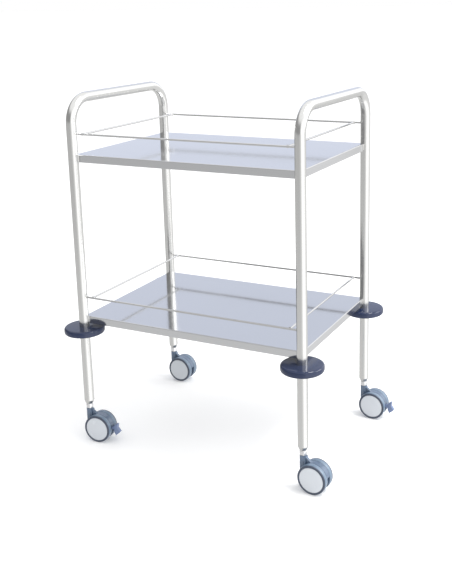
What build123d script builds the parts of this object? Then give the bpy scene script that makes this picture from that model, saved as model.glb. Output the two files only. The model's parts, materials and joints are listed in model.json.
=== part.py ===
"""Two-shelf instrument cart on four twin-wheel castors.

Millimetres, +Z up. The origin is on the floor, at the centre of the cart's overall footprint.
+X runs along the cart, from its left handle to its right handle, and -Y is its front.
"""
from build123d import *
from math import cos, radians, sin, sqrt
import os

os.makedirs("parts", exist_ok=True)

# Welded frame
leg_spacing_x = 600.0      # between leg axes, along the cart
leg_spacing_y = 408.0      # between leg axes, across the cart
overall_height = 890.0     # floor to the top of the handles
handle_rise = 147.0        # upper shelf to the top of the handles
tube_diameter = 25.0
tube_wall = 1.5
bend_radius = 62.0         # centreline of the bends beside each handle

# Shelves: one folded sheet each, open underneath
shelf_side_setback = 3.0   # row of leg axes to the shelf's long edge
shelf_sheet = 1.2
apron_depth = 18.5
fold_radius = 2.0
hem_width = 9.0            # edge turned inwards along the bottom of the apron
lower_shelf_top = 332.0

# Guard rails round each shelf
rail_diameter = 5.0
rail_height = 51.0         # shelf top to the middle of the rod
side_rail_inset = 30.0     # leg axis to the rod that runs from front to back

# Bumper discs under the lower shelf
bumper_diameter = 101.0
bumper_thickness = 16.5
bumper_edge_radius = 5.5
bumper_bore_clearance = 0.02
bumper_drop = 8.0          # lower edge of the shelf to the top of the bumper

# Leg ends, from the tube down to the castor
insert_cone_height = 9.0
insert_tip_diameter = 18.0
insert_spigot_length = 28.0
insert_clearance = 0.05
washer_diameter = 16.6
washer_thickness = 2.2
washer_split = 1.6
collar_diameter = 17.0
collar_flats = 14.5
collar_height = 10.0
thread_diameter = 10.0
thread_length = 26.0
thread_clearance = 0.05
swivel_gap = 0.4           # collar to the top of the castor's socket
swivel_pin_diameter = 9.0
swivel_pin_length = 24.0
swivel_clearance = 0.06
snap_ring_diameter = 11.6
snap_ring_thickness = 1.2
snap_ring_depth = 8.0      # socket top to the middle of the ring
snap_ring_clearance = 0.3
snap_groove_diameter = 7.4

# Castors
socket_rise = 11.5         # top of the wheels to the top of the socket
castor_trail = 30.0        # swivel axis to wheel axle
wheel_diameter = 72.0
wheel_width = 13.0
tyre_depth = 4.5
tyre_crown = 0.8
flange_inset = 0.7         # how far the wheel's outer lip stays inside the tread
flange_width = 2.6
rim_depth = 4.0
hub_diameter = 16.0
wheel_web_thickness = 3.0
wheel_web_inset = 5.0
hub_outer_inset = 4.0      # hub's outer end, in from the wheel's outer face
cover_inset = 6.0          # tread to the edge of the cover
cover_edge = 2.0
cover_dome = 1.4
cover_wall = 1.5
cover_skirt_wall = 1.4
cover_clearance = 0.15
axle_diameter = 6.0
axle_clearance = 0.06
retainer_diameter = 13.0
retainer_thickness = 0.8
retainer_gap = 0.3
axle_end_length = 1.2      # axle past its retainer
press_clearance = 0.02

# Castor housing
hood_setback = 1.0         # tread to the round edge of the housing
slot_wall = 2.3            # housing on each side of the pedal slot
hood_floor_gap = 9.0
hood_side_gap = 0.5
socket_diameter = 17.0
socket_tyre_gap = 1.2
gusset_top_drop = 4.0      # socket top to the start of the sloping shoulder
gusset_reach = 12.0        # socket to where the shoulder meets the round part
heel_height = 17.0         # straight front of the socket, above the axle's level
heel_drop = 14.0           # where it meets the round part, below the axle's level
slot_start = 10.0          # axle to the pedal slot
slot_top = 6.5             # axle's level to the top of the slot

# Brake pedal: its pivot and heights are measured from the wheel axle, the rest from the tread
pedal_width = 9.0
pedal_side_gap = 0.7
pedal_pivot_x = 19.0
pedal_pivot_z = 1.0
pedal_hub_radius = 5.0
pedal_arm_height = 7.0
pedal_root_reach = 4.5
pedal_root_top = 7.0
pedal_root_bottom = -9.0
pedal_shoulder_reach = 9.5
pedal_shoulder_z = 13.0
pedal_upper_reach = 16.0
pedal_upper_z = 15.3
pedal_notch_reach = 14.3
pedal_notch_z = 4.0
pedal_tip_reach = 22.3
pedal_tip_z = -6.4
pedal_heel_reach = 9.5
pedal_heel_z = -18.0
pedal_edge_round = 0.8
pivot_pin_diameter = 4.0
pivot_clearance = 0.06

# How far each castor is turned about its leg, and which ones have a brake
castor_turn = {"front_left": 5.0, "front_right": -4.0, "back_left": -1.5, "back_right": -3.0}
braked_castors = ("front_left", "back_right")

# Places that follow from the sizes above
tube_radius = tube_diameter / 2
wheel_radius = wheel_diameter / 2
castor_height = wheel_diameter + socket_rise
collar_bottom = castor_height + swivel_gap
collar_top = collar_bottom + collar_height
leg_end = collar_top + washer_thickness
tube_end = leg_end + insert_cone_height
handle_z = overall_height - tube_radius
upper_shelf_top = overall_height - handle_rise
shelf_length = leg_spacing_x
shelf_width = leg_spacing_y - 2 * shelf_side_setback
footprint_left = leg_spacing_x / 2 + bumper_diameter / 2
footprint_right = leg_spacing_x / 2 + castor_trail + wheel_radius + pedal_tip_reach
centre_x = (footprint_left - footprint_right) / 2
left_x = centre_x - leg_spacing_x / 2
right_x = centre_x + leg_spacing_x / 2
front_y = -leg_spacing_y / 2
back_y = leg_spacing_y / 2
legs = {
    "front_left": (left_x, front_y),
    "front_right": (right_x, front_y),
    "back_left": (left_x, back_y),
    "back_right": (right_x, back_y),
}
shelf_tops = {"bottom_shelf": lower_shelf_top, "top_shelf": upper_shelf_top}


def level(z):
    """Level plane at height z, centred on the cart's legs."""
    return Plane(origin=(centre_x, 0, z))


def save(piece, name):
    """Label a finished piece and write its file."""
    piece.part.label = name
    export_step(piece.part, f"parts/{name}.step")


# Side frames: each is one tube bent into an upside-down U, two legs joined by a handle
for side, x in (("left", left_x), ("right", right_x)):
    with BuildPart() as side_frame:
        with BuildLine(Plane.YZ.offset(x)) as tube_run:
            FilletPolyline(
                (front_y, tube_end),
                (front_y, handle_z),
                (back_y, handle_z),
                (back_y, tube_end),
                radius=bend_radius,
            )
        with BuildSketch(Plane(origin=(x, front_y, tube_end))) as tube_section:
            Circle(tube_radius)
            Circle(tube_radius - tube_wall, mode=Mode.SUBTRACT)
        sweep()
    save(side_frame, f"side_frame_{side}")

# Shelves: folded down all round, hemmed, and cut away at the corners to fit the legs
for name, top in shelf_tops.items():
    bottom = top - apron_depth
    with BuildPart() as shelf:
        with BuildSketch(level(bottom)):
            Rectangle(shelf_length, shelf_width)
        extrude(amount=apron_depth)
        fillet(shelf.faces().sort_by(Axis.Z)[-1].edges(), radius=fold_radius)
        offset(amount=-shelf_sheet, openings=shelf.faces().sort_by(Axis.Z)[0])
        with BuildSketch(level(bottom)):
            Rectangle(shelf_length, shelf_width)
            Rectangle(shelf_length - 2 * hem_width, shelf_width - 2 * hem_width, mode=Mode.SUBTRACT)
        extrude(amount=shelf_sheet)
        with BuildSketch(Plane.XY.offset(bottom)):
            with Locations(*legs.values()):
                Circle(tube_radius)
        extrude(amount=apron_depth, mode=Mode.SUBTRACT)
    save(shelf, name)

# Guard rails: long rods from leg to leg, short rods between the long ones
for name, top in shelf_tops.items():
    rod_z = top + rail_height
    rod_radius = rail_diameter / 2
    for side, y in (("front", front_y), ("back", back_y)):
        with BuildPart() as long_rail:
            with BuildSketch(Plane.YZ.offset(left_x)):
                with Locations((y, rod_z)):
                    Circle(rod_radius)
            extrude(amount=leg_spacing_x)
            with BuildSketch(Plane.XY.offset(rod_z - rod_radius)):
                with Locations((left_x, y), (right_x, y)):
                    Circle(tube_radius)
            extrude(amount=rail_diameter, mode=Mode.SUBTRACT)
        save(long_rail, f"{name}_{side}_rail")
    for side, x in (("left", left_x + side_rail_inset), ("right", right_x - side_rail_inset)):
        with BuildPart() as short_rail:
            with BuildSketch(Plane.XZ.offset(back_y)):
                with Locations((x, rod_z)):
                    Circle(rod_radius)
            extrude(amount=-leg_spacing_y)
            with BuildSketch(Plane.YZ.offset(x - rod_radius)):
                with Locations((front_y, rod_z), (back_y, rod_z)):
                    Circle(rod_radius)
            extrude(amount=rail_diameter, mode=Mode.SUBTRACT)
        save(short_rail, f"{name}_{side}_rail")

# Bumpers: a moulded disc pushed up each leg, tight on the tube, to just below the lower shelf
bumper_top = lower_shelf_top - apron_depth - bumper_drop
for leg, place in legs.items():
    with BuildPart() as bumper:
        with BuildSketch(Plane.XY.offset(bumper_top - bumper_thickness)):
            with Locations(place):
                Circle(bumper_diameter / 2)
        extrude(amount=bumper_thickness)
        fillet(bumper.edges(), radius=bumper_edge_radius)
        with BuildSketch(Plane.XY.offset(bumper_top - bumper_thickness)):
            with Locations(place):
                Circle(tube_radius + bumper_bore_clearance)
        extrude(amount=bumper_thickness, mode=Mode.SUBTRACT)
    save(bumper, f"bumper_{leg}")

# Leg inserts: turned plugs in the tube ends, tapered below and tapped for the castor's thread
with BuildPart() as leg_inserts:
    for place in legs.values():
        with BuildSketch(Plane.XY.offset(leg_end)):
            with Locations(place):
                Circle(insert_tip_diameter / 2)
        with BuildSketch(Plane.XY.offset(tube_end)):
            with Locations(place):
                Circle(tube_radius)
        loft()
    with BuildSketch(Plane.XY.offset(tube_end)):
        with Locations(*legs.values()):
            Circle(tube_radius - tube_wall - insert_clearance)
    extrude(amount=insert_spigot_length)
    with BuildSketch(Plane.XY.offset(leg_end)):
        with Locations(*legs.values()):
            Circle(thread_diameter / 2 + thread_clearance)
    extrude(amount=insert_cone_height + insert_spigot_length, mode=Mode.SUBTRACT)
save(leg_inserts, "leg_inserts")

# Spring washers: split rings between each castor's collar and its leg insert
with BuildPart() as spring_washers:
    with BuildSketch(Plane.XY.offset(collar_top)):
        with Locations(*legs.values()):
            Circle(washer_diameter / 2)
            Circle(thread_diameter / 2 + thread_clearance, mode=Mode.SUBTRACT)
            Rectangle(washer_split, washer_diameter / 2, align=(Align.CENTER, Align.MAX), mode=Mode.SUBTRACT)
    extrude(amount=washer_thickness)
save(spring_washers, "spring_washers")

# Castor stems: thread, spanner collar and swivel pin, turned in one
snap_ring_z = castor_height - snap_ring_depth
with BuildPart() as castor_stems:
    with BuildSketch(Plane.XY.offset(castor_height - swivel_pin_length)):
        with Locations(*legs.values()):
            Circle(swivel_pin_diameter / 2)
    extrude(amount=swivel_pin_length + swivel_gap)
    with BuildSketch(Plane.XY.offset(collar_bottom)):
        with Locations(*legs.values()):
            Circle(collar_diameter / 2)
            Rectangle(collar_diameter, collar_flats, mode=Mode.INTERSECT)
    extrude(amount=collar_height)
    with BuildSketch(Plane.XY.offset(collar_top)):
        with Locations(*legs.values()):
            Circle(thread_diameter / 2)
    extrude(amount=thread_length)
    with BuildSketch(Plane.XY.offset(snap_ring_z - snap_ring_thickness / 2)):
        with Locations(*legs.values()):
            Circle(swivel_pin_diameter / 2)
            Circle(snap_groove_diameter / 2, mode=Mode.SUBTRACT)
    extrude(amount=snap_ring_thickness, mode=Mode.SUBTRACT)
save(castor_stems, "castor_stems")

# Snap rings: one in each swivel pin's groove, to keep the castor on its stem
with BuildPart() as snap_rings:
    with BuildSketch(Plane.XY.offset(snap_ring_z - snap_ring_thickness / 2)):
        with Locations(*legs.values()):
            Circle(snap_ring_diameter / 2)
            Circle(snap_groove_diameter / 2, mode=Mode.SUBTRACT)
    extrude(amount=snap_ring_thickness)
save(snap_rings, "stem_snap_rings")

# Castors. Distances along the axle start from the middle of the housing.
slot_width = pedal_width + 2 * pedal_side_gap
hood_thickness = slot_width + 2 * slot_wall
hood_half = hood_thickness / 2
hood_radius = wheel_radius - hood_setback
wheel_inner = hood_half + hood_side_gap
wheel_outer = wheel_inner + wheel_width
tread_end = wheel_outer - flange_width
hub_end = wheel_outer - hub_outer_inset
cover_seat = wheel_outer - cover_edge
web_inner = wheel_inner + wheel_web_inset
web_outer = web_inner + wheel_web_thickness
tyre_seat_radius = wheel_radius - tyre_depth
rim_inner_radius = tyre_seat_radius - rim_depth
cover_radius = wheel_radius - cover_inset
skirt_radius = rim_inner_radius - cover_clearance
retainer_start = hub_end + retainer_gap
axle_half = retainer_start + retainer_thickness + axle_end_length
socket_radius = socket_diameter / 2
socket_base = wheel_radius + sqrt((wheel_radius + socket_tyre_gap) ** 2 - (castor_trail - socket_radius) ** 2)


def castor_plane(leg):
    """Level plane on the floor under a leg, its X axis pointing to where the castor trails."""
    turn = radians(castor_turn[leg])
    return Plane(origin=(*legs[leg], 0), x_dir=(cos(turn), sin(turn), 0), z_dir=(0, 0, 1))


def upright_plane(base):
    """Plane through the middle of the castor: X where it trails, Y upwards."""
    return Plane(origin=base.origin, x_dir=base.x_dir, z_dir=-base.y_dir)


def axle_plane(base, side):
    """Plane through the axle: X along the axle away from the housing, Y upwards."""
    middle = base.from_local_coords((castor_trail, 0, wheel_radius))
    return Plane(origin=middle, x_dir=base.y_dir * side, z_dir=base.x_dir * side)


def from_axle(x, z):
    """A point in the upright plane, given from the wheel axle."""
    return (castor_trail + x, wheel_radius + z)


def hood_circle_height(x):
    """Height of the round part of the housing at x from the wheel axle."""
    return sqrt(hood_radius**2 - x**2)


def build_hood(base):
    """Housing: a moulded web between the wheels, with the stem's socket at its front."""
    upright = upright_plane(base)
    shoulder_x = socket_radius + gusset_reach - castor_trail
    heel_x = -sqrt(hood_radius**2 - heel_drop**2)
    with BuildPart() as hood:
        with BuildSketch(upright):
            with Locations(from_axle(0, 0)):
                Circle(hood_radius)
            with BuildLine():
                Polyline(
                    (-socket_radius, castor_height - gusset_top_drop),
                    (-socket_radius, wheel_radius + heel_height),
                    from_axle(heel_x, -heel_drop),
                    from_axle(0, 0),
                    from_axle(shoulder_x, hood_circle_height(shoulder_x)),
                    (socket_radius, castor_height - gusset_top_drop),
                    close=True,
                )
            make_face()
            with Locations((castor_trail, hood_floor_gap)):
                Rectangle(wheel_diameter, wheel_radius, align=(Align.CENTER, Align.MAX), mode=Mode.SUBTRACT)
        extrude(amount=hood_half, both=True)
        # rounded front, so that the socket runs down into the web
        with BuildSketch(base):
            Circle(socket_radius)
            Rectangle(2 * wheel_diameter, hood_thickness, align=(Align.MIN, Align.CENTER))
        extrude(amount=castor_height, mode=Mode.INTERSECT)
        # the socket is fully round above the wheels
        with BuildSketch(base.offset(socket_base)):
            Circle(socket_radius)
        extrude(amount=castor_height - socket_base)
        # bore for the swivel pin, with a groove for its snap ring
        with BuildSketch(base.offset(castor_height)):
            Circle(swivel_pin_diameter / 2 + swivel_clearance)
        extrude(amount=-(swivel_pin_length + swivel_gap), mode=Mode.SUBTRACT)
        with BuildSketch(base.offset(snap_ring_z - snap_ring_thickness / 2 - snap_ring_clearance)):
            Circle(snap_ring_diameter / 2 + snap_ring_clearance)
        extrude(amount=snap_ring_thickness + 2 * snap_ring_clearance, mode=Mode.SUBTRACT)
        # slot for the pedal, open behind and below
        with BuildSketch(upright):
            with Locations(from_axle(slot_start, slot_top)):
                Rectangle(wheel_diameter, wheel_diameter, align=(Align.MIN, Align.MAX))
        extrude(amount=slot_width / 2, both=True, mode=Mode.SUBTRACT)
        with BuildSketch(upright):
            with Locations(from_axle(0, 0)):
                Circle(axle_diameter / 2 + press_clearance)
            with Locations(from_axle(pedal_pivot_x, pedal_pivot_z)):
                Circle(pivot_pin_diameter / 2 + press_clearance)
        extrude(amount=hood_thickness, both=True, mode=Mode.SUBTRACT)
    return hood


def build_axle(base):
    """Axle: a plain rod pressed through the housing."""
    with BuildPart() as axle:
        with BuildSketch(upright_plane(base)):
            with Locations(from_axle(0, 0)):
                Circle(axle_diameter / 2)
        extrude(amount=axle_half, both=True)
    return axle


def build_retainers(base):
    """Axle retainers: a push-on washer outside each hub."""
    upright = upright_plane(base)
    with BuildPart() as retainers:
        with BuildSketch(upright.offset(retainer_start), upright.offset(-retainer_start - retainer_thickness)):
            with Locations(from_axle(0, 0)):
                Circle(retainer_diameter / 2)
                Circle(axle_diameter / 2, mode=Mode.SUBTRACT)
        extrude(amount=retainer_thickness)
    return retainers


def build_wheel(section_plane):
    """Wheel body: hub, web, tyre seat and outer lip, moulded in one."""
    bore = axle_diameter / 2 + axle_clearance
    hub = hub_diameter / 2
    lip_bore = cover_radius + cover_clearance
    lip_radius = wheel_radius - flange_inset
    with BuildPart() as wheel:
        with BuildSketch(section_plane) as section:
            with BuildLine():
                Polyline(
                    (wheel_inner, bore),
                    (hub_end, bore),
                    (hub_end, hub),
                    (web_outer, hub),
                    (web_outer, rim_inner_radius),
                    (cover_seat, rim_inner_radius),
                    (cover_seat, lip_bore),
                    (wheel_outer, lip_bore),
                    (wheel_outer, lip_radius),
                    (tread_end, lip_radius),
                    (tread_end, tyre_seat_radius),
                    (wheel_inner, tyre_seat_radius),
                    (wheel_inner, rim_inner_radius),
                    (web_inner, rim_inner_radius),
                    (web_inner, hub),
                    (wheel_inner, hub),
                    close=True,
                )
            make_face()
            fillet(section.vertices().sort_by_distance((wheel_outer, lip_radius))[0], radius=flange_width / 3)
        revolve(axis=Axis(section_plane.origin, section_plane.x_dir))
    return wheel


def build_tyre(section_plane):
    """Tyre: a band on the wheel's seat, with a crowned tread."""
    shoulder = wheel_radius - tyre_crown
    with BuildPart() as tyre:
        with BuildSketch(section_plane):
            with BuildLine():
                Polyline(
                    (wheel_inner, shoulder),
                    (wheel_inner, tyre_seat_radius),
                    (tread_end, tyre_seat_radius),
                    (tread_end, shoulder),
                )
                ThreePointArc(
                    (tread_end, shoulder),
                    ((wheel_inner + tread_end) / 2, wheel_radius),
                    (wheel_inner, shoulder),
                )
            make_face()
        revolve(axis=Axis(section_plane.origin, section_plane.x_dir))
    return tyre


def dome_fall(radius):
    """How far the cover's dome has fallen from its middle at a given radius."""
    sphere = (cover_radius**2 + cover_dome**2) / (2 * cover_dome)
    return sphere - sqrt(sphere**2 - radius**2)


def build_cover(section_plane):
    """Cover: a shallow dome whose skirt snaps inside the rim."""
    skirt_inner = skirt_radius - cover_skirt_wall
    skirt_end = (web_outer + cover_seat) / 2
    dome_top = wheel_outer + cover_dome
    inner_top = dome_top - cover_wall
    inner_edge = inner_top - dome_fall(skirt_inner)
    with BuildPart() as cover:
        with BuildSketch(section_plane):
            with BuildLine():
                Line((inner_top, 0), (dome_top, 0))
                ThreePointArc(
                    (dome_top, 0),
                    (dome_top - dome_fall(cover_radius / 2), cover_radius / 2),
                    (wheel_outer, cover_radius),
                )
                Polyline(
                    (wheel_outer, cover_radius),
                    (cover_seat, cover_radius),
                    (cover_seat, skirt_radius),
                    (skirt_end, skirt_radius),
                    (skirt_end, skirt_inner),
                    (inner_edge, skirt_inner),
                )
                ThreePointArc(
                    (inner_edge, skirt_inner),
                    (inner_top - dome_fall(skirt_inner / 2), skirt_inner / 2),
                    (inner_top, 0),
                )
            make_face()
        revolve(axis=Axis(section_plane.origin, section_plane.x_dir))
    return cover


def build_pedal(base):
    """Brake pedal: a fish-tail plate on an arm that pivots in the housing's slot."""
    upright = upright_plane(base)
    arm_top = pedal_pivot_z + pedal_arm_height / 2
    arm_bottom = pedal_pivot_z - pedal_arm_height / 2
    with BuildPart() as pedal:
        with BuildSketch(upright):
            with BuildLine():
                FilletPolyline(
                    from_axle(pedal_pivot_x, arm_top),
                    from_axle(wheel_radius + pedal_root_reach, arm_top),
                    from_axle(wheel_radius + pedal_root_reach, pedal_root_top),
                    from_axle(wheel_radius + pedal_shoulder_reach, pedal_shoulder_z),
                    from_axle(wheel_radius + pedal_upper_reach, pedal_upper_z),
                    from_axle(wheel_radius + pedal_notch_reach, pedal_notch_z),
                    from_axle(wheel_radius + pedal_tip_reach, pedal_tip_z),
                    from_axle(wheel_radius + pedal_heel_reach, pedal_heel_z),
                    from_axle(wheel_radius + pedal_root_reach, pedal_root_bottom),
                    from_axle(wheel_radius + pedal_root_reach, arm_bottom),
                    from_axle(pedal_pivot_x, arm_bottom),
                    radius=pedal_edge_round,
                    close=True,
                )
            make_face()
            with Locations(from_axle(pedal_pivot_x, pedal_pivot_z)):
                Circle(pedal_hub_radius)
                Circle(pivot_pin_diameter / 2 + pivot_clearance, mode=Mode.SUBTRACT)
        extrude(amount=pedal_width / 2, both=True)
    return pedal


def build_pivot_pin(base):
    """Pivot pin: pressed through both sides of the housing's slot."""
    with BuildPart() as pin:
        with BuildSketch(upright_plane(base)):
            with Locations(from_axle(pedal_pivot_x, pedal_pivot_z)):
                Circle(pivot_pin_diameter / 2)
        extrude(amount=hood_half, both=True)
    return pin


for leg in legs:
    base = castor_plane(leg)
    save(build_hood(base), f"castor_{leg}_hood")
    save(build_axle(base), f"castor_{leg}_axle")
    save(build_retainers(base), f"castor_{leg}_axle_retainers")
    for side_name, side in (("near", -1), ("far", 1)):
        section_plane = axle_plane(base, side)
        save(build_wheel(section_plane), f"castor_{leg}_{side_name}_wheel")
        save(build_tyre(section_plane), f"castor_{leg}_{side_name}_tyre")
        save(build_cover(section_plane), f"castor_{leg}_{side_name}_cover")
    if leg in braked_castors:
        save(build_pedal(base), f"castor_{leg}_brake_pedal")
        save(build_pivot_pin(base), f"castor_{leg}_pivot_pin")
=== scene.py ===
"""The instrument cart's looks, modelled round its fixed frame.

Metres, +Z up. -Y is the cart's front and +X runs along it to the right handle.
"""
import bmesh
import bpy
import json
from math import acos, asin, atan2, cos, pi, radians, sin, sqrt
from mathutils import Euler, Matrix, Vector


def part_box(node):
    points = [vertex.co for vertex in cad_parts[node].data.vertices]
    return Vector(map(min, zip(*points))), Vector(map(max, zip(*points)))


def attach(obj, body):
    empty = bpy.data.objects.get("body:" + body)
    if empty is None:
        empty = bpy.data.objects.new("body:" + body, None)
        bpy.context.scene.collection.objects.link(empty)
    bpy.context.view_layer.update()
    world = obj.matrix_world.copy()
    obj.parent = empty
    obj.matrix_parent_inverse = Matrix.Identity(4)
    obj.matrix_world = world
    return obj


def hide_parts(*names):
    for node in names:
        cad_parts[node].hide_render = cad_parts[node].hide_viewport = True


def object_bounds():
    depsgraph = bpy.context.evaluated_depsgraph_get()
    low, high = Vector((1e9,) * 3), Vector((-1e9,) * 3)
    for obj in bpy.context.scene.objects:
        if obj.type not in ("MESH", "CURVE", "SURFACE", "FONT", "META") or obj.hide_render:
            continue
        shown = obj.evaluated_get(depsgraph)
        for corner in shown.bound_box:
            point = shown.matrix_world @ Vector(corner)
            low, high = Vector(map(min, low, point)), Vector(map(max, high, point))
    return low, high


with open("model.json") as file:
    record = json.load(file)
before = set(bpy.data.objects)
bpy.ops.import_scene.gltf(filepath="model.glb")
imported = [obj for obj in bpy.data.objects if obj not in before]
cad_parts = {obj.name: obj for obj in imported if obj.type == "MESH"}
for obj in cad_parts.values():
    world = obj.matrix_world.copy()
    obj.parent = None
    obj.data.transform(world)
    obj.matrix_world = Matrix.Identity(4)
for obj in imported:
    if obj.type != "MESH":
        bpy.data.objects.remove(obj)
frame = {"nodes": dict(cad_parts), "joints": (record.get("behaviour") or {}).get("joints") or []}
cad_low, cad_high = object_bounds()


# Side frames. Each is one stainless tube bent into an upside-down U, so that its two legs and
# the handle between them are a single length. The tube is polished to an even satin with fine
# lines that run round it.
tube_wall = 0.0015
tube_bend_radius = 0.062
tube_sides = 64
bend_steps = 20
satin_steel = (0.66, 0.66, 0.65)
merge_distance = 1e-6
noise_low, noise_high = 0.3, 0.7  # the range that most of a noise falls in
tube_line_depth = 0.000004

left_low, left_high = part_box("side_frame_left")
right_low, right_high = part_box("side_frame_right")
tube_radius = (left_high.x - left_low.x) / 2
front_y = left_low.y + tube_radius
back_y = left_high.y - tube_radius
tube_end = left_low.z
handle_z = left_high.z - tube_radius
side_x = {"left": (left_low.x + left_high.x) / 2, "right": (right_low.x + right_high.x) / 2}
legs = {
    "front_left": Vector((side_x["left"], front_y, 0)),
    "front_right": Vector((side_x["right"], front_y, 0)),
    "back_left": Vector((side_x["left"], back_y, 0)),
    "back_right": Vector((side_x["right"], back_y, 0)),
}
bend_z = handle_z - tube_bend_radius
leg_straight = bend_z - tube_end
handle_straight = back_y - front_y - 2 * tube_bend_radius


def start(name, primitive, **settings):
    """Add a primitive alone, name it, and open it in edit mode with all of it selected."""
    bpy.ops.object.select_all(action="DESELECT")
    primitive(**settings)
    piece = bpy.context.active_object
    piece.name = name
    bpy.ops.object.mode_set(mode="EDIT")
    bpy.ops.mesh.select_mode(type="VERT")
    bpy.ops.mesh.select_all(action="SELECT")
    return piece


def pull(x, y, z):
    """Extrude what is selected by a step."""
    bpy.ops.mesh.extrude_region_move(TRANSFORM_OT_translate={"value": (x, y, z)})


def close_seams():
    """Merge the points that lie on each other and turn every face outwards."""
    bpy.ops.mesh.select_all(action="SELECT")
    bpy.ops.mesh.remove_doubles(threshold=merge_distance)
    bpy.ops.mesh.normals_make_consistent(inside=False)


def alone(piece):
    """Leave edit mode with only this piece selected and active."""
    if bpy.context.object and bpy.context.object.mode == "EDIT":
        bpy.ops.object.mode_set(mode="OBJECT")
    bpy.ops.object.select_all(action="DESELECT")
    piece.select_set(True)
    bpy.context.view_layer.objects.active = piece


def modify(piece, kind, **settings):
    """Give a piece a modifier and apply it."""
    alone(piece)
    modifier = piece.modifiers.new(kind.title(), kind)
    for key, value in settings.items():
        setattr(modifier, key, value)
    bpy.ops.object.modifier_apply(modifier=modifier.name)


def complete(piece, material, body, slot, *nodes, smooth=32):
    """Settle a piece's place in its mesh, smooth it, give it its material and body, and hide the CAD
    nodes it stands in for.
    """
    alone(piece)
    bpy.ops.object.transform_apply(location=True, rotation=True, scale=True)
    bpy.ops.object.shade_smooth_by_angle(angle=radians(smooth))
    piece.data.name = piece.name
    piece.data.materials.clear()
    piece.data.materials.append(material)
    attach(piece, body)
    if nodes:
        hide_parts(*nodes)
    return piece


def new_material(name, colour, roughness, **sockets):
    """A material with the shader's plain values set; returns it with its nodes, links and shader."""
    material = bpy.data.materials.new(name)
    material.use_nodes = True
    nodes, links = material.node_tree.nodes, material.node_tree.links
    shader = nodes["Principled BSDF"]
    shader.inputs["Base Color"].default_value = (*colour, 1)
    shader.inputs["Roughness"].default_value = roughness
    for socket, value in sockets.items():
        shader.inputs[socket.replace("_", " ").title()].default_value = value
    return material, nodes, links, shader


def noise(nodes, links, vector, scale, detail=3.0, stretch=(1, 1, 1)):
    """Noise on a vector, stretched by a mapping; returns its factor."""
    mapping = nodes.new("ShaderNodeMapping")
    mapping.inputs["Scale"].default_value = stretch
    links.new(vector, mapping.inputs["Vector"])
    texture = nodes.new("ShaderNodeTexNoise")
    texture.inputs["Scale"].default_value = scale
    texture.inputs["Detail"].default_value = detail
    links.new(mapping.outputs["Vector"], texture.inputs["Vector"])
    return texture.outputs["Fac"]


def spread(nodes, links, factor, low, high):
    """Map a noise factor to the range from low to high."""
    node = nodes.new("ShaderNodeMapRange")
    node.inputs["From Min"].default_value = noise_low
    node.inputs["From Max"].default_value = noise_high
    node.inputs["To Min"].default_value = low
    node.inputs["To Max"].default_value = high
    links.new(factor, node.inputs["Value"])
    return node.outputs["Result"]


def bump(nodes, links, shader, height, depth):
    """Raise the surface by a height factor, depth metres at the most, over any bump it has."""
    node = nodes.new("ShaderNodeBump")
    node.inputs["Strength"].default_value = 1.0
    node.inputs["Distance"].default_value = depth
    links.new(height, node.inputs["Height"])
    for link in list(shader.inputs["Normal"].links):
        links.new(link.from_socket, node.inputs["Normal"])
    links.new(node.outputs["Normal"], shader.inputs["Normal"])


def tint(nodes, links, shader, factor, dark, light):
    """Mix the base colour between two near shades by a factor."""
    node = nodes.new("ShaderNodeMix")
    node.data_type = "RGBA"
    node.inputs["A"].default_value = (*dark, 1)
    node.inputs["B"].default_value = (*light, 1)
    links.new(factor, node.inputs["Factor"])
    links.new(node.outputs["Result"], shader.inputs["Base Color"])


def shade(colour, share):
    """The same colour, darker or lighter by a share."""
    return tuple(min(1.0, part * share) for part in colour)


def object_point(nodes):
    """The point on the piece, in the cart's own metres."""
    return nodes.new("ShaderNodeTexCoord").outputs["Object"]


def polished_tube():
    material, nodes, links, shader = new_material("satin_tube", satin_steel, 0.2, metallic=1.0)
    point = object_point(nodes)
    along = nodes.new("ShaderNodeAttribute")
    along.attribute_name = "along_tube"
    lines = noise(nodes, links, along.outputs["Vector"], 900, detail=2, stretch=(1, 0.01, 0.01))
    patches = noise(nodes, links, point, 14, detail=4)
    links.new(spread(nodes, links, patches, 0.17, 0.23), shader.inputs["Roughness"])
    tint(nodes, links, shader, patches, shade(satin_steel, 0.975), shade(satin_steel, 1.02))
    bump(nodes, links, shader, lines, tube_line_depth)
    return material


def along_tube(point):
    """How far along the tube a point on it is, from the end of the front leg."""
    quarter = tube_bend_radius * pi / 2
    if point.z <= bend_z:
        climbed = point.z - tube_end
        return climbed if point.y < 0 else 2 * (leg_straight + quarter) + handle_straight - climbed
    turned_back = abs(point.y) - (back_y - tube_bend_radius)
    turned = atan2(point.z - bend_z, max(turned_back, 0)) * tube_bend_radius
    run = min(0, turned_back) + handle_straight / 2 if turned_back < 0 else 0
    from_leg = leg_straight + turned + run
    return from_leg if point.y < 0 else 2 * (leg_straight + quarter) + handle_straight - from_leg


tube_steel = polished_tube()
for side, x in side_x.items():
    tube = start(
        f"{side}_bent_tube", bpy.ops.mesh.primitive_circle_add,
        vertices=tube_sides, radius=tube_radius, location=(x, front_y, tube_end),
    )
    pull(0, 0, leg_straight)
    for centre_y, run in (
        (front_y + tube_bend_radius, handle_straight),
        (back_y - tube_bend_radius, 0),
    ):
        bpy.ops.mesh.spin(
            steps=bend_steps, angle=pi / 2, center=(x, centre_y, bend_z), axis=(1, 0, 0),
        )
        if run:
            pull(0, run, 0)
    pull(0, 0, -leg_straight)
    close_seams()
    modify(tube, "SOLIDIFY", thickness=tube_wall, offset=-1)
    complete(tube, tube_steel, "frame", "frame_tube", f"side_frame_{side}")
    along = tube.data.attributes.new("along_tube", "FLOAT_VECTOR", "POINT")
    for place, point in zip(along.data, tube.data.vertices):
        place.vector = (along_tube(point.co), point.co.y, point.co.z)


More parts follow.
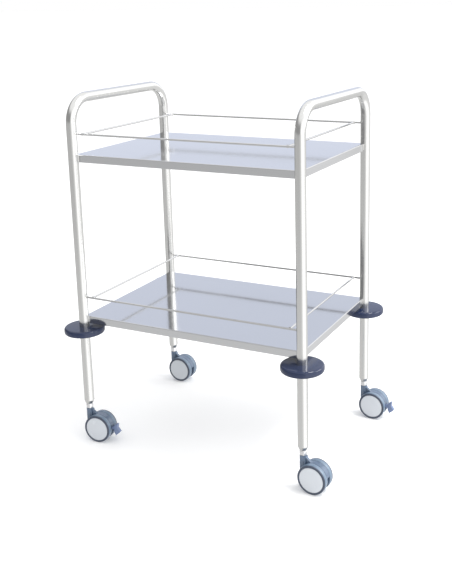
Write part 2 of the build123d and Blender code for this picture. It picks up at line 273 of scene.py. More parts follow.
# Shelves. Each is one stainless sheet folded down on all four sides, with a hem turned inwards
# along the bottom edge. Its corners are cut round the legs, and it is welded to them there. The
# sheet is bright and nearly a mirror, with a faint grain along its length.
sheet_thickness = 0.0012
fold_radius = 0.002
fold_steps = 5
hem_width = 0.009
leg_cut_sides = 64
bright_sheet = (0.60, 0.605, 0.615)
sheet_grain_depth = 0.000002
sheet_wave_depth = 0.0006
downwards = -0.9  # a face whose normal is below this points down


def pick(kind, wanted):
    """In edit mode, select just the faces or edges whose middle point and normal pass a test."""
    mesh = bmesh.from_edit_mesh(bpy.context.object.data)
    bpy.ops.mesh.select_mode(type=kind)
    bpy.ops.mesh.select_all(action="DESELECT")
    for face in mesh.faces if kind == "FACE" else []:
        if wanted(face.calc_center_median(), face.normal):
            face.select_set(True)
    for edge in mesh.edges if kind == "EDGE" else []:
        a, b = edge.verts[0].co, edge.verts[1].co
        if wanted((a + b) / 2, (b - a).normalized()):
            edge.select_set(True)
    bmesh.update_edit_mesh(bpy.context.object.data)


def carve(piece, cutter, operation="DIFFERENCE"):
    """Cut a piece with another, join them or keep what they share, and remove the cutter."""
    alone(cutter)
    modify(piece, "BOOLEAN", object=cutter, operation=operation, solver="EXACT")
    bpy.data.objects.remove(cutter)


def bright_sheet_metal():
    material, nodes, links, shader = new_material("bright_sheet", bright_sheet, 0.1, metallic=1.0)
    point = object_point(nodes)
    grain = noise(nodes, links, point, 60, detail=5, stretch=(1, 30, 30))
    cloud = noise(nodes, links, point, 5, detail=2)
    links.new(spread(nodes, links, grain, 0.08, 0.125), shader.inputs["Roughness"])
    tint(nodes, links, shader, cloud, shade(bright_sheet, 0.98), shade(bright_sheet, 1.02))
    bump(nodes, links, shader, grain, sheet_grain_depth)
    bump(nodes, links, shader, noise(nodes, links, point, 3.5, detail=1), sheet_wave_depth)
    return material


sheet_metal = bright_sheet_metal()
for level in ("bottom", "top"):
    low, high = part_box(f"{level}_shelf")
    size = high - low
    shelf = start(
        f"{level}_folded_sheet", bpy.ops.mesh.primitive_cube_add, size=1, location=(low + high) / 2,
    )
    bpy.ops.transform.resize(value=size)
    bpy.ops.object.mode_set(mode="OBJECT")
    bpy.ops.object.transform_apply(location=True, rotation=True, scale=True)
    bpy.ops.object.mode_set(mode="EDIT")
    pick("EDGE", lambda middle, along: middle.z > high.z - fold_radius)
    bpy.ops.mesh.bevel(offset=fold_radius, segments=fold_steps, profile=0.5)
    pick("FACE", lambda middle, normal: normal.z < downwards)
    bpy.ops.mesh.inset(thickness=hem_width)
    bpy.ops.mesh.delete(type="FACE")
    close_seams()
    modify(shelf, "SOLIDIFY", thickness=sheet_thickness, offset=-1, use_even_offset=True)
    for place in legs.values():
        leg_hole = start(
            "leg_hole", bpy.ops.mesh.primitive_cylinder_add, vertices=leg_cut_sides,
            radius=tube_radius, depth=2 * size.z, location=(place.x, place.y, (low.z + high.z) / 2),
        )
        carve(shelf, leg_hole)
    complete(shelf, sheet_metal, "frame", "shelf_sheet", f"{level}_shelf")
    modify(shelf, "WEIGHTED_NORMAL", keep_sharp=True)


# Guard rails. Long rods run from leg to leg and short rods run between them, all of bright
# drawn stainless rod, welded where they meet.
rod_sides = 24
rod_bite = 0.0006
rod_steel = (0.60, 0.60, 0.60)
rod_line_depth = 0.00001
rod_low, rod_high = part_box("top_shelf_left_rail")
rod_radius = (rod_high.x - rod_low.x) / 2


def bright_rod():
    material, nodes, links, shader = new_material("bright_rod", rod_steel, 0.16, metallic=1.0)
    point = object_point(nodes)
    draw_lines = noise(nodes, links, point, 220, detail=3)
    links.new(spread(nodes, links, draw_lines, 0.13, 0.2), shader.inputs["Roughness"])
    bump(nodes, links, shader, draw_lines, rod_line_depth)
    return material


rod_metal = bright_rod()
for level in ("bottom", "top"):
    for side in ("front", "back", "left", "right"):
        low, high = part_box(f"{level}_shelf_{side}_rail")
        middle = (low + high) / 2
        if side in ("front", "back"):
            near = Vector((side_x["left"] + tube_radius - rod_bite, middle.y, middle.z))
            run = Vector((side_x["right"] - side_x["left"] - 2 * (tube_radius - rod_bite), 0, 0))
            turn = (0, pi / 2, 0)
        else:
            near = Vector((middle.x, front_y + rod_radius - rod_bite, middle.z))
            run = Vector((0, back_y - front_y - 2 * (rod_radius - rod_bite), 0))
            turn = (pi / 2, 0, 0)
        rod = start(
            f"{level}_{side}_guard_rod", bpy.ops.mesh.primitive_circle_add, vertices=rod_sides,
            radius=rod_radius, fill_type="NGON", location=near, rotation=turn,
        )
        pull(*run)
        close_seams()
        complete(rod, rod_metal, "frame", "guard_rod", f"{level}_shelf_{side}_rail")


# Welds. Small rippled beads of bright filler where the rods meet the legs and each other, and
# up both sides of every shelf corner. Each shelf's beads are one piece.
weld_sides = 20
fillet_reach = 0.0016
fillet_rise = 0.0013
corner_bead_radius = 0.0013
corner_bead_margin = 0.0015
ripple_length = 0.0022
ripple_depth = 0.12
fewest_bead_steps = 10
ripple_steps = 4
bead_squareness = 6
bead_grain_depth = 0.00003
seed_size = 0.01
weld_steel = (0.72, 0.71, 0.69)


def turned(name, outline, steps):
    """Spin a half section of (radius, height) points round the Z axis."""
    piece = start(name, bpy.ops.mesh.primitive_plane_add, size=seed_size)
    bpy.ops.mesh.merge(type="CENTER")
    bpy.ops.transform.translate(value=(outline[0][0], 0, outline[0][1]))
    for (radius_a, height_a), (radius_b, height_b) in zip(outline, outline[1:]):
        pull(radius_b - radius_a, 0, height_b - height_a)
    bpy.ops.mesh.select_all(action="SELECT")
    bpy.ops.mesh.spin(steps=steps, angle=2 * pi, center=(0, 0, 0), axis=(0, 0, 1))
    close_seams()
    alone(piece)
    return piece


def put_copy(pattern, name, place):
    """Copy a pattern with its own mesh and settle the copy at a place."""
    alone(pattern)
    bpy.ops.object.duplicate(linked=False)
    copy = bpy.context.active_object
    copy.name = name
    copy.matrix_world = place
    bpy.ops.object.transform_apply(location=True, rotation=True, scale=True)
    return copy


def join(name, pieces):
    """Join pieces into one."""
    alone(pieces[0])
    for piece in pieces:
        piece.select_set(True)
    bpy.ops.object.join()
    pieces[0].name = name
    return pieces[0]


def pointing(place, direction):
    """A place whose Z axis points along a direction."""
    return Matrix.Translation(place) @ direction.to_track_quat("Z", "Y").to_matrix().to_4x4()


def bead_outline(half, radius):
    """A rounded bead's outline: it swells, ripples along its length and closes at both ends."""
    count = max(fewest_bead_steps, int(2 * half / ripple_length) * ripple_steps)
    outline = []
    for step in range(count + 1):
        height = -half + 2 * half * step / count
        swell = sqrt(max(0.0, 1 - (height / half) ** bead_squareness))
        ripple = 1 - ripple_depth * (0.5 + 0.5 * cos(2 * pi * height / ripple_length))
        outline.append((radius * swell * ripple, height))
    return outline


def weld_metal():
    material, nodes, links, shader = new_material("weld_bead", weld_steel, 0.3, metallic=1.0)
    mottling = noise(nodes, links, object_point(nodes), 700, detail=3)
    links.new(spread(nodes, links, mottling, 0.22, 0.4), shader.inputs["Roughness"])
    bump(nodes, links, shader, mottling, bead_grain_depth)
    return material


bead_metal = weld_metal()
rod_fillet = turned("rod_fillet", [
    (rod_radius - rod_bite, 0),
    (rod_radius + fillet_rise, 0),
    (rod_radius + 0.45 * fillet_rise, 0.35 * fillet_reach),
    (rod_radius + 0.12 * fillet_rise, 0.75 * fillet_reach),
    (rod_radius - rod_bite, fillet_reach),
    (rod_radius - rod_bite, 0),
], weld_sides)
for level in ("bottom", "top"):
    low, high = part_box(f"{level}_shelf")
    rail_low, rail_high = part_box(f"{level}_shelf_front_rail")
    rod_z = (rail_low.z + rail_high.z) / 2
    bead_half = (high.z - low.z) / 2 - corner_bead_margin
    corner_bead = turned("corner_bead", bead_outline(bead_half, corner_bead_radius), weld_sides)
    beads = []
    for leg, place in legs.items():
        inwards = Vector((-1 if place.x > 0 else 1, 0, 0))
        across = Vector((0, -1 if place.y > 0 else 1, 0))
        rod_end = Vector((place.x, place.y, rod_z)) + inwards * (tube_radius - rod_bite)
        beads.append(put_copy(rod_fillet, "bead", pointing(rod_end, inwards)))
        rail_low, rail_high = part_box(f"{level}_shelf_{'left' if place.x < 0 else 'right'}_rail")
        rod_side = Vector(((rail_low.x + rail_high.x) / 2, place.y, rod_z))
        rod_side += across * (rod_radius - rod_bite)
        beads.append(put_copy(rod_fillet, "bead", pointing(rod_side, across)))
        edge_y = low.y if place.y < 0 else high.y
        reach = sqrt(tube_radius**2 - (edge_y - place.y) ** 2)
        for point in (
            Vector((place.x, edge_y, (low.z + high.z) / 2)) + inwards * reach,
            Vector((place.x, place.y, (low.z + high.z) / 2)) + across * tube_radius,
        ):
            beads.append(put_copy(corner_bead, "bead", Matrix.Translation(point)))
    complete(join(f"{level}_shelf_welds", beads), bead_metal, "frame", "frame_tube", smooth=60)
    bpy.data.objects.remove(corner_bead)
bpy.data.objects.remove(rod_fillet)


# Bumpers. A solid moulded disc of dark blue nylon is pushed up each leg to just below the lower
# shelf, tight on the tube. Both its edges have a generous round, with a faint parting line between.
bumper_round = 0.0055
bumper_round_steps = 10
parting_rise = 0.00012
parting_half = 0.0003
turned_steps = 96
bumper_blue = (0.014, 0.024, 0.066)
bumper_clearance = 0.00002
smooth_grain = 0.000004
fine_grain = 0.000006
plain_grain = 0.00001
clear_patch = 0.03


def corner_arc(centre_radius, centre_height, radius, start_turn, end_turn, steps):
    """Points of a round edge, as (radius, height), between two angles in degrees."""
    turns = [radians(start_turn + (end_turn - start_turn) * step / steps) for step in range(steps + 1)]
    return [(centre_radius + radius * cos(turn), centre_height + radius * sin(turn)) for turn in turns]


def moulded(name, colour, roughness, grain_depth, patch=clear_patch, **sockets):
    """Moulded plastic: an even colour with a faint cloudiness and the fine grain of its mould."""
    material, nodes, links, shader = new_material(name, colour, roughness, **sockets)
    point = object_point(nodes)
    cloud = noise(nodes, links, point, 45, detail=3)
    links.new(spread(nodes, links, cloud, roughness * 0.85, roughness * 1.2), shader.inputs["Roughness"])
    tint(nodes, links, shader, cloud, shade(colour, 1 - patch), shade(colour, 1 + patch))
    bump(nodes, links, shader, noise(nodes, links, point, 2600, detail=1), grain_depth)
    return material


bumper_plastic = moulded("bumper_nylon", bumper_blue, 0.14, smooth_grain)
bumper_low, bumper_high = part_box("bumper_front_left")
bumper_radius = (bumper_high.x - bumper_low.x) / 2
bumper_bore = tube_radius + bumper_clearance
bumper_half = (bumper_high.z - bumper_low.z) / 2
bumper_middle = (bumper_high.z + bumper_low.z) / 2
round_radius = bumper_radius - bumper_round
round_height = bumper_half - bumper_round
bumper_pattern = turned("bumper_pattern", [
    (bumper_bore, -bumper_half),
    *corner_arc(round_radius, -round_height, bumper_round, -90, 0, bumper_round_steps),
    (bumper_radius, -parting_half),
    (bumper_radius + parting_rise, 0),
    (bumper_radius, parting_half),
    *corner_arc(round_radius, round_height, bumper_round, 0, 90, bumper_round_steps),
    (bumper_bore, bumper_half),
    (bumper_bore, -bumper_half),
], turned_steps)
for leg, place in legs.items():
    disc_place = Matrix.Translation(place + Vector((0, 0, bumper_middle)))
    disc = put_copy(bumper_pattern, f"{leg}_bumper_disc", disc_place)
    complete(disc, bumper_plastic, "frame", "bumper", f"bumper_{leg}")
bpy.data.objects.remove(bumper_pattern)


# Leg ends. A turned stainless plug closes each leg, tapered down to the castor. Below it come a
# split spring washer and the castor's stem, whose spanner collar is the bright band that shows.
edge_break = 0.0004
fit_clearance = 0.00005
turning_depth = 0.00002
insert_tip_radius = 0.009
spigot_radius = tube_radius - tube_wall - fit_clearance
thread_radius = 0.005
washer_radius = 0.0083
washer_gap = 0.0016
collar_radius = 0.0085
collar_flats = 0.0145
collar_height = 0.010
pin_radius = 0.0045
ring_groove_radius = 0.0037
bright_zinc = (0.74, 0.74, 0.75)

insert_low, insert_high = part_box("leg_inserts")
washer_low, washer_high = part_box("spring_washers")
stem_low, stem_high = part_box("castor_stems")
ring_low, ring_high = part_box("stem_snap_rings")
leg_end = insert_low.z
collar_top = washer_low.z
collar_bottom = collar_top - collar_height


def turned_metal(name, colour, low, high):
    """Turned steel: fine rings from the tool round an upright axis."""
    material, nodes, links, shader = new_material(name, colour, low, metallic=1.0)
    rings = noise(nodes, links, object_point(nodes), 8, detail=2, stretch=(1, 1, 500))
    links.new(spread(nodes, links, rings, low, high), shader.inputs["Roughness"])
    bump(nodes, links, shader, rings, turning_depth)
    return material


insert_metal = turned_metal("turned_insert", satin_steel, 0.34, 0.42)
zinc = turned_metal("bright_zinc", bright_zinc, 0.12, 0.22)
insert_pattern = turned("insert_pattern", [
    (thread_radius + fit_clearance, leg_end),
    (insert_tip_radius - edge_break, leg_end),
    (insert_tip_radius, leg_end + edge_break),
    (tube_radius - edge_break / 2, tube_end - edge_break),
    (tube_radius, tube_end),
    (spigot_radius, tube_end),
    (spigot_radius, insert_high.z),
    (thread_radius + fit_clearance, insert_high.z),
    (thread_radius + fit_clearance, leg_end),
], turned_steps)
inserts = [put_copy(insert_pattern, "insert", Matrix.Translation(place)) for place in legs.values()]
complete(join("leg_end_plugs", inserts), insert_metal, "frame", "leg_insert", "leg_inserts")
bpy.data.objects.remove(insert_pattern)

washer_mid = (washer_low.z + washer_high.z) / 2
washer_pattern = turned("washer_pattern", [
    (thread_radius + fit_clearance, washer_low.z + edge_break),
    (thread_radius + edge_break, washer_low.z),
    (washer_radius - edge_break, washer_low.z),
    (washer_radius, washer_low.z + edge_break),
    (washer_radius, washer_high.z - edge_break),
    (washer_radius - edge_break, washer_high.z),
    (thread_radius + edge_break, washer_high.z),
    (thread_radius + fit_clearance, washer_high.z - edge_break),
    (thread_radius + fit_clearance, washer_low.z + edge_break),
], turned_steps)
washer_slit = start(
    "washer_slit", bpy.ops.mesh.primitive_cube_add, size=1, location=(0, -washer_radius, washer_mid),
)
bpy.ops.transform.resize(value=(washer_gap, 2 * (washer_radius - thread_radius / 2), 2 * washer_radius))
carve(washer_pattern, washer_slit)
washers = [put_copy(washer_pattern, "washer", Matrix.Translation(place)) for place in legs.values()]
complete(join("split_washers", washers), zinc, "frame", "steel_hardware", "spring_washers")
bpy.data.objects.remove(washer_pattern)

stem_pattern = turned("stem_pattern", [
    (0, stem_low.z),
    (pin_radius - edge_break, stem_low.z),
    (pin_radius, stem_low.z + edge_break),
    (pin_radius, ring_low.z),
    (ring_groove_radius, ring_low.z),
    (ring_groove_radius, ring_high.z),
    (pin_radius, ring_high.z),
    (pin_radius, collar_bottom),
    (collar_radius - edge_break, collar_bottom),
    (collar_radius, collar_bottom + edge_break),
    (collar_radius, collar_top - edge_break),
    (collar_radius - edge_break, collar_top),
    (thread_radius, collar_top),
    (thread_radius, stem_high.z - edge_break),
    (thread_radius - edge_break, stem_high.z),
    (0, stem_high.z),
], turned_steps)
alone(stem_pattern)
bpy.ops.object.mode_set(mode="EDIT")
for facing in (-1, 1):
    bpy.ops.mesh.select_all(action="SELECT")
    bpy.ops.mesh.bisect(
        plane_co=(0, facing * collar_flats / 2, 0), plane_no=(0, facing, 0),
        use_fill=True, clear_outer=True,
    )
close_seams()
stems = [put_copy(stem_pattern, "stem", Matrix.Translation(place)) for place in legs.values()]
complete(join("castor_stem_set", stems), zinc, "frame", "steel_hardware", "castor_stems")
bpy.data.objects.remove(stem_pattern)


# Snap rings, axles, retainers and pivot pins. Small plated steel parts inside the castors, which
# keep their shapes as they are.
for name, node in frame["nodes"].items():
    if name == "stem_snap_rings" or name.endswith(("_axle", "_axle_retainers", "_pivot_pin")):
        node.data.materials.clear()
        node.data.materials.append(zinc)


# Castor housings. One moulding of blue-grey nylon: a thin web between the two wheels, a round
# socket for the stem in front of it, and a slot behind for the brake pedal. From here each castor
# is modelled about its axle: X runs back from the stem, Y along the axle and Z up.
castor_joints = {joint["name"]: joint for joint in frame["joints"]}
stem_place = Vector(castor_joints["castor_front_left_swivel"]["pos_m"])
axle_place = Vector(castor_joints["castor_front_left_near_roll"]["pos_m"])
wheel_radius = axle_place.z
castor_trail = (axle_place - stem_place).length
socket_radius = 0.0085
socket_gap = 0.0004
socket_height = collar_bottom - socket_gap - wheel_radius
housing_half = 0.0075
housing_setback = 0.001
housing_radius = wheel_radius - housing_setback
floor_clearance = 0.009
housing_floor = floor_clearance - wheel_radius
shoulder_drop = 0.004
shoulder_top = socket_height - shoulder_drop
shoulder_reach = 0.012
heel_height = 0.017
heel_drop = 0.014
slot_start = 0.010
slot_top = 0.0065
slot_half = 0.0052
housing_round = 0.0012
gusset_half = 0.0035
gusset_bury = 0.003
running_clearance = 0.00006
pin_bore_radius = pin_radius + running_clearance
pin_bore_depth = 0.0244
axle_radius = 0.003
pivot_x, pivot_z = 0.019, 0.001
pivot_radius = 0.002
arc_steps = 56
heel_steps = 8
bore_sides = 48
round_segments = 3
sharp_edge = 40
housing_blue = (0.105, 0.15, 0.225)


def drawn(name, outline, half):
    """A solid whose side view is an outline of (x, z) points, half a thickness each way."""
    piece = start(name, bpy.ops.mesh.primitive_plane_add, size=seed_size)
    bpy.ops.mesh.merge(type="CENTER")
    bpy.ops.transform.translate(value=(outline[0][0], -half, outline[0][1]))
    for (x_a, z_a), (x_b, z_b) in zip(outline, [*outline[1:], outline[0]]):
        pull(x_b - x_a, 0, z_b - z_a)
    bpy.ops.mesh.select_all(action="SELECT")
    bpy.ops.mesh.remove_doubles(threshold=merge_distance)
    bpy.ops.mesh.edge_face_add()
    pull(0, 2 * half, 0)
    close_seams()
    alone(piece)
    return piece


def upright_rod(name, radius, low, high, x):
    """An upright cylinder to carve with."""
    rod = start(
        name, bpy.ops.mesh.primitive_cylinder_add, vertices=turned_steps, radius=radius,
        depth=high - low, location=(x, 0, (low + high) / 2),
    )
    alone(rod)
    return rod


def level_rod(name, radius, half, x, z):
    """A cylinder along the axle to carve with."""
    rod = start(
        name, bpy.ops.mesh.primitive_cylinder_add, vertices=bore_sides, radius=radius, depth=2 * half,
        location=(x, 0, z), rotation=(pi / 2, 0, 0),
    )
    alone(rod)
    return rod


def block(name, low, high):
    """A box between two corners to carve with."""
    box = start(
        name, bpy.ops.mesh.primitive_cube_add, size=1, location=(Vector(low) + Vector(high)) / 2,
    )
    bpy.ops.transform.resize(value=Vector(high) - Vector(low))
    alone(box)
    return box


def housing_arc(start_turn, end_turn, steps):
    """Points of the housing's round edge between two angles in degrees."""
    return corner_arc(0, 0, housing_radius, start_turn, end_turn, steps)


stem_front = -castor_trail - socket_radius
stem_back = -castor_trail + socket_radius
shoulder_x = stem_back + shoulder_reach
shoulder_z = sqrt(housing_radius**2 - shoulder_x**2)
shoulder_slope = (shoulder_top - shoulder_z) / shoulder_reach
heel_turn = 180 + asin(heel_drop / housing_radius) * 180 / pi
floor_turn = asin(-housing_floor / housing_radius) * 180 / pi
back_turn = acos(stem_back / housing_radius) * 180 / pi
housing_pattern = drawn("housing_pattern", [
    (stem_front, shoulder_top),
    (stem_front, heel_height),
    *housing_arc(heel_turn, 180 + floor_turn, heel_steps),
    *housing_arc(-floor_turn, back_turn, arc_steps),
    (stem_back, shoulder_top),
], housing_half)
front_round = upright_rod("front_round", socket_radius, -wheel_radius, 2 * wheel_radius, -castor_trail)
carve(front_round, block(
    "behind_front", (-castor_trail, -housing_half, -wheel_radius),
    (2 * wheel_radius, housing_half, 2 * wheel_radius),
), "UNION")
carve(housing_pattern, front_round, "INTERSECT")
tyre_clearance = 0.0012
socket_foot = sqrt((wheel_radius + tyre_clearance) ** 2 - (castor_trail - socket_radius) ** 2)
carve(housing_pattern, upright_rod(
    "socket", socket_radius, socket_foot, socket_height, -castor_trail,
), "UNION")
gusset_foot = shoulder_z - 3 * gusset_bury
carve(housing_pattern, drawn("gusset", [
    (stem_back - gusset_bury, shoulder_top + gusset_bury * shoulder_slope),
    (stem_back - gusset_bury, gusset_foot),
    (shoulder_x + gusset_bury, gusset_foot),
    (shoulder_x + gusset_bury, shoulder_z - gusset_bury * shoulder_slope),
], gusset_half), "UNION")
carve(housing_pattern, block(
    "pedal_slot", (slot_start, -slot_half, -2 * wheel_radius), (2 * wheel_radius, slot_half, slot_top),
))
modify(
    housing_pattern, "BEVEL", width=housing_round, segments=round_segments, limit_method="ANGLE",
    angle_limit=radians(sharp_edge), use_clamp_overlap=True,
)
carve(housing_pattern, upright_rod(
    "pin_bore", pin_bore_radius, socket_height - pin_bore_depth, 2 * socket_height, -castor_trail,
))
carve(housing_pattern, level_rod("axle_bore", axle_radius, 2 * housing_half, 0, 0))
carve(housing_pattern, level_rod("pivot_bore", pivot_radius, 2 * housing_half, pivot_x, pivot_z))

housing_plastic = moulded(
    "housing_nylon", housing_blue, 0.24, fine_grain, coat_weight=0.5, coat_roughness=0.15,
)


def castor_place(leg):
    """A castor's axle and its directions, from its near wheel's joint."""
    joint = castor_joints[f"castor_{leg}_near_roll"]
    axle = Vector(joint["axis"])
    back = axle.cross(Vector((0, 0, 1)))
    turn = Matrix((back, axle, (0, 0, 1))).transposed().to_4x4()
    return Matrix.Translation(joint["pos_m"]) @ turn


for leg in legs:
    housing = put_copy(housing_pattern, f"{leg}_castor_housing", castor_place(leg))
    complete(housing, housing_plastic, f"castor_{leg}_fork", "castor_housing", f"castor_{leg}_hood")
bpy.data.objects.remove(housing_pattern)


# Wheels. Two to a castor, each a dark nylon body with a hub, a web and an outer lip, a blue-grey
# tyre round it, and a pale cover snapped in its face. The lip shows as a dark ring round the
# cover. Along the axle, sizes start from the middle of the housing.
wheel_inner = 0.008
wheel_outer = 0.021
lip_width = 0.0026
tread_end = wheel_outer - lip_width
tyre_thickness = 0.0045
tyre_seat = wheel_radius - tyre_thickness
rim_wall = 0.004
rim_inner = tyre_seat - rim_wall
lip_setback = 0.0007
lip_radius = wheel_radius - lip_setback
lip_round = 0.0009
hub_radius = 0.008
hub_end = 0.017
web_inner, web_outer = 0.013, 0.016
cover_inset = 0.006
cover_radius = wheel_radius - cover_inset
cover_recess = 0.002
cover_seat = wheel_outer - cover_recess
cover_rise = 0.0014
cover_wall = 0.0015
cover_gap = 0.00015
cover_edge_round = 0.0006
cover_skirt = 0.0014
cover_skirt_end = (web_outer + cover_seat) / 2
cover_steps = 12
tread_crown = 0.0008
tread_round = 0.0014
slate = (0.055, 0.07, 0.105)
lip_steps = 5
crown_steps = 6
rubber_patch = 0.05
cover_patch = 0.015
tyre_blue = (0.15, 0.21, 0.29)
cover_grey = (0.60, 0.63, 0.67)

wheel_bore = axle_radius + running_clearance
wheel_pattern = turned("wheel_pattern", [
    (wheel_bore, wheel_inner),
    (wheel_bore, hub_end),
    (hub_radius - edge_break, hub_end),
    (hub_radius, hub_end - edge_break),
    (hub_radius, web_outer),
    (rim_inner, web_outer),
    (rim_inner, cover_seat),
    (cover_radius + cover_gap, cover_seat),
    (cover_radius + cover_gap, wheel_outer - edge_break),
    (cover_radius + cover_gap + edge_break, wheel_outer),
    *corner_arc(lip_radius - lip_round, wheel_outer - lip_round, lip_round, 90, 0, lip_steps),
    (lip_radius, tread_end),
    (tyre_seat, tread_end),
    (tyre_seat, wheel_inner),
    (rim_inner, wheel_inner),
    (rim_inner, web_inner),
    (hub_radius, web_inner),
    (hub_radius, wheel_inner),
    (wheel_bore, wheel_inner),
], turned_steps)

tread_half = (tread_end - wheel_inner) / 2
tread_middle = (tread_end + wheel_inner) / 2
crown_sphere = (tread_half**2 + tread_crown**2) / (2 * tread_crown)


def crown(offset):
    """The tread's radius at an offset from its middle."""
    return wheel_radius - crown_sphere + sqrt(crown_sphere**2 - offset**2)


flat_half = tread_half - tread_round
shoulder_radius = crown(flat_half) - tread_round
tyre_pattern = turned("tyre_pattern", [
    (tyre_seat, wheel_inner),
    *corner_arc(shoulder_radius, wheel_inner + tread_round, tread_round, -90, -5, lip_steps),
    *[
        (crown(step / crown_steps * flat_half), tread_middle + step / crown_steps * flat_half)
        for step in range(1 - crown_steps, crown_steps)
    ],
    *corner_arc(shoulder_radius, tread_end - tread_round, tread_round, 5, 90, lip_steps),
    (tyre_seat, tread_end),
    (tyre_seat, wheel_inner),
], turned_steps)


def dome_fall(radius, rim, rise):
    """How far a shallow dome has fallen from its middle at a radius."""
    sphere = (rim**2 + rise**2) / (2 * rise)
    return sphere - sqrt(sphere**2 - radius**2)


face_rim = cover_radius - cover_edge_round
skirt_radius = rim_inner - cover_gap
inner_rim = skirt_radius - cover_skirt
cover_top = wheel_outer + cover_rise
cover_pattern = turned("cover_pattern", [
    *[
        (radius, cover_top - dome_fall(radius, cover_radius, cover_rise))
        for radius in [face_rim * step / cover_steps for step in range(cover_steps + 1)]
    ],
    (cover_radius - 0.3 * cover_edge_round, wheel_outer - 0.3 * cover_edge_round),
    (cover_radius, wheel_outer - cover_edge_round),
    (cover_radius, cover_seat),
    (skirt_radius, cover_seat),
    (skirt_radius, cover_skirt_end),
    (inner_rim, cover_skirt_end),
    *[
        (radius, cover_top - cover_wall - dome_fall(radius, cover_radius, cover_rise))
        for radius in [inner_rim * (1 - step / cover_steps) for step in range(cover_steps + 1)]
    ],
], turned_steps)

wheel_plastic = moulded("wheel_nylon", slate, 0.36, plain_grain)
tyre_rubber = moulded(
    "tyre_rubber", tyre_blue, 0.3, plain_grain, rubber_patch, coat_weight=0.4, coat_roughness=0.2,
)
cover_plastic = moulded("cover_nylon", cover_grey, 0.24, fine_grain, cover_patch)

# a pattern's spin axis is laid along the axle, pointing away from the housing
sideways = {"near": Matrix.Rotation(pi / 2, 4, "X"), "far": Matrix.Rotation(-pi / 2, 4, "X")}
for leg in legs:
    for side, turn in sideways.items():
        place = castor_place(leg) @ turn
        body = f"castor_{leg}_{side}_roller"
        node = f"castor_{leg}_{side}"
        wheel = put_copy(wheel_pattern, f"{leg}_{side}_wheel_body", place)
        complete(wheel, wheel_plastic, body, "wheel_body", f"{node}_wheel")
        tyre = put_copy(tyre_pattern, f"{leg}_{side}_tread", place)
        complete(tyre, tyre_rubber, body, "tyre", f"{node}_tyre")
        cover = put_copy(cover_pattern, f"{leg}_{side}_wheel_disc", place)
        complete(cover, cover_plastic, body, "wheel_cover", f"{node}_cover")
for pattern in (wheel_pattern, tyre_pattern, cover_pattern):
    bpy.data.objects.remove(pattern)


# Brake pedals. A fish-tail plate of lighter blue-grey nylon, whose arm turns on a pin in the
# housing's slot, on the front-left and back-right castors.
pedal_half = 0.0045
pedal_hub_radius = 0.005
pedal_round = 0.0009
pedal_blue = (0.17, 0.22, 0.36)
pedal_arm_half = 0.0035
pedal_tail_gap = 0.0045
pedal_hub_steps = 16
arm_turn = asin(pedal_arm_half / pedal_hub_radius) * 180 / pi
tail_x = wheel_radius + pedal_tail_gap
pedal_outline = [
    (tail_x, pivot_z + pedal_arm_half),
    (tail_x, 0.007),
    (0.0455, 0.013),
    (0.052, 0.0153),
    (0.0503, 0.004),
    (0.0583, -0.0064),
    (0.0455, -0.018),
    (tail_x, -0.009),
    (tail_x, pivot_z - pedal_arm_half),
]
pedal_pattern = drawn("pedal_pattern", [
    *[
        (pivot_x + x, pivot_z + z)
        for x, z in corner_arc(0, 0, pedal_hub_radius, 360 - arm_turn, arm_turn, pedal_hub_steps)
    ],
    *pedal_outline,
], pedal_half)
modify(
    pedal_pattern, "BEVEL", width=pedal_round, segments=4, limit_method="ANGLE",
    angle_limit=radians(30),
)
carve(pedal_pattern, level_rod(
    "pedal_bore", pivot_radius + running_clearance, 2 * pedal_half, pivot_x, pivot_z,
))
pedal_plastic = moulded("pedal_nylon", pedal_blue, 0.34, plain_grain)
for leg in ("front_left", "back_right"):
    pedal = put_copy(pedal_pattern, f"{leg}_pedal", castor_place(leg))
    complete(pedal, pedal_plastic, f"castor_{leg}_pedal", "brake_pedal", f"castor_{leg}_brake_pedal")
bpy.data.objects.remove(pedal_pattern)


# The studio. A pale floor stands in a soft surround: bright overhead, a broad white side on the
# right, plain white behind, and a grey side on the left that gives the tubes their dark edge.
floor_size = 400.0
floor_white = (0.93, 0.93, 0.93)
floor_glow = 0.15
dome_light = 1.25
# the slopes, as sines, between which one part of the surround gives way to the next: the sides to
# the overhead light, the floor's band to the lower band, and the lower band to the upper
dome_low, dome_high = 0.45, 0.8
floor_low, floor_high = -0.45, -0.1
band_low, band_high = 0.01, 0.06
grey_side = 0.65
dark_side = 0.40
white_side = 1.6
white_back = 1.02
dim_back = 0.74
floor_grey = 0.86
blue_back = (0.85, 0.90, 1.04)
side_start = 0.84
overhead_place, overhead_side, overhead_power = (1.6, 0.2, 3.3), 0.9, 50
right_place, right_target, right_power = (2.2, 1.0, 1.6), (0, 0, 0.1), 25
right_width, right_height = 1.6, 1.2
# brightness by direction, in degrees anticlockwise from +X
lower_band = [
    (-180, grey_side), (-95, grey_side), (-58, side_start), (-45, white_side), (18, white_side),
    (34, white_back), (67, white_back), (75, dim_back), (125, dim_back), (142, white_back),
    (155, grey_side), (180, grey_side),
]
floor_band = [
    (-180, floor_grey), (-95, floor_grey), (-58, white_back), (-45, white_side), (18, white_side),
    (34, white_back), (67, white_back), (75, floor_grey), (155, floor_grey), (180, floor_grey),
]
upper_band = [
    (-180, dark_side), (-75, dark_side), (-48, white_side), (80, white_side), (98, blue_back),
    (142, blue_back), (155, dark_side), (180, dark_side),
]

floor = start("floor", bpy.ops.mesh.primitive_plane_add, size=floor_size)
alone(floor)
floor_material, nodes, links, shader = new_material("pale_floor", floor_white, 0.9)
shader.inputs["Specular IOR Level"].default_value = 0.1
shader.inputs["Emission Color"].default_value = (*floor_white, 1)
shader.inputs["Emission Strength"].default_value = floor_glow
floor.data.materials.append(floor_material)
floor.visible_glossy = False

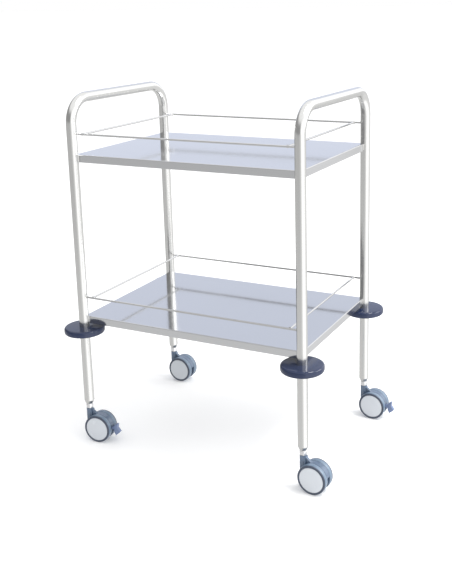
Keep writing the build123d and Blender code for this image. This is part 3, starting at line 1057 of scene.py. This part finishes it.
world = bpy.data.worlds.new("studio")
bpy.context.scene.world = world
world.use_nodes = True
nodes, links = world.node_tree.nodes, world.node_tree.links
background = nodes["Background"]
direction = nodes.new("ShaderNodeTexCoord").outputs["Generated"]
parts = nodes.new("ShaderNodeSeparateXYZ")
links.new(direction, parts.inputs["Vector"])
heading = nodes.new("ShaderNodeMath")
heading.operation = "ARCTAN2"
links.new(parts.outputs["Y"], heading.inputs[0])
links.new(parts.outputs["X"], heading.inputs[1])
turn = nodes.new("ShaderNodeMapRange")
turn.inputs["From Min"].default_value = -pi
turn.inputs["From Max"].default_value = pi
links.new(heading.outputs["Value"], turn.inputs["Value"])


def band(stops):
    """A ring of brightness by heading."""
    ramp = nodes.new("ShaderNodeValToRGB")
    ramp.color_ramp.interpolation = "EASE"
    while len(ramp.color_ramp.elements) < len(stops):
        ramp.color_ramp.elements.new(0.5)
    for element, (heading_degrees, brightness) in zip(ramp.color_ramp.elements, stops):
        element.position = heading_degrees / 360 + 0.5
        element.color = (*(brightness if isinstance(brightness, tuple) else 3 * (brightness,)), 1)
    links.new(turn.outputs["Result"], ramp.inputs["Fac"])
    return ramp.outputs["Color"]


def by_slope(low, high, below, above):
    """Blend from one colour to another as the direction rises, each a socket or a brightness."""
    slope = nodes.new("ShaderNodeMapRange")
    slope.interpolation_type = "SMOOTHSTEP"
    slope.inputs["From Min"].default_value = low
    slope.inputs["From Max"].default_value = high
    links.new(parts.outputs["Z"], slope.inputs["Value"])
    mix = nodes.new("ShaderNodeMix")
    mix.data_type = "RGBA"
    links.new(slope.outputs["Result"], mix.inputs["Factor"])
    for side, socket in ((below, mix.inputs["A"]), (above, mix.inputs["B"])):
        if isinstance(side, float):
            socket.default_value = (side, side, side, 1)
        else:
            links.new(side, socket)
    return mix.outputs["Result"]


near_floor = by_slope(floor_low, floor_high, band(floor_band), band(lower_band))
sides = by_slope(band_low, band_high, near_floor, band(upper_band))
studio_light = by_slope(dome_low, dome_high, sides, dome_light)
backdrop = nodes.new("ShaderNodeMix")
backdrop.data_type = "RGBA"
backdrop.inputs["B"].default_value = (1, 1, 1, 1)
links.new(studio_light, backdrop.inputs["A"])
links.new(nodes.new("ShaderNodeLightPath").outputs["Is Camera Ray"], backdrop.inputs["Factor"])
links.new(backdrop.outputs["Result"], background.inputs["Color"])


def soft_light(name, place, target, width, height, power):
    """A large soft light that faces a point."""
    bpy.ops.object.light_add(type="AREA", location=place)
    light = bpy.context.active_object
    light.name = name
    light.data.shape = "RECTANGLE"
    light.data.size = width
    light.data.size_y = height
    light.data.energy = power
    light.rotation_euler = (Vector(target) - Vector(place)).to_track_quat("-Z", "Y").to_euler()


cart_middle = (cad_low + cad_high) / 2
soft_light("overhead", overhead_place, cart_middle, overhead_side, overhead_side, overhead_power)
soft_light("right", right_place, right_target, right_width, right_height, right_power)
bpy.context.scene.view_settings.view_transform = "Standard"


# The camera: from the front and a little to the right, just above the handles, looking down.
camera_place = (1.0190, -1.8704, 1.0892)
camera_heading = 25.76
camera_dip = 12.53
camera_roll = -0.97
camera_lens = 53.77
camera_shift = (-0.0801, -0.1602)

bpy.ops.object.camera_add(location=camera_place)
camera = bpy.context.active_object
heading_turn = Euler((0, 0, radians(camera_heading))).to_matrix()
dip_turn = Euler((radians(90 - camera_dip), 0, 0)).to_matrix()
roll_turn = Euler((0, 0, radians(camera_roll))).to_matrix()
camera.rotation_euler = (heading_turn @ dip_turn @ roll_turn).to_euler()
camera.data.lens = camera_lens
camera.data.shift_x, camera.data.shift_y = camera_shift
bpy.context.scene.camera = camera
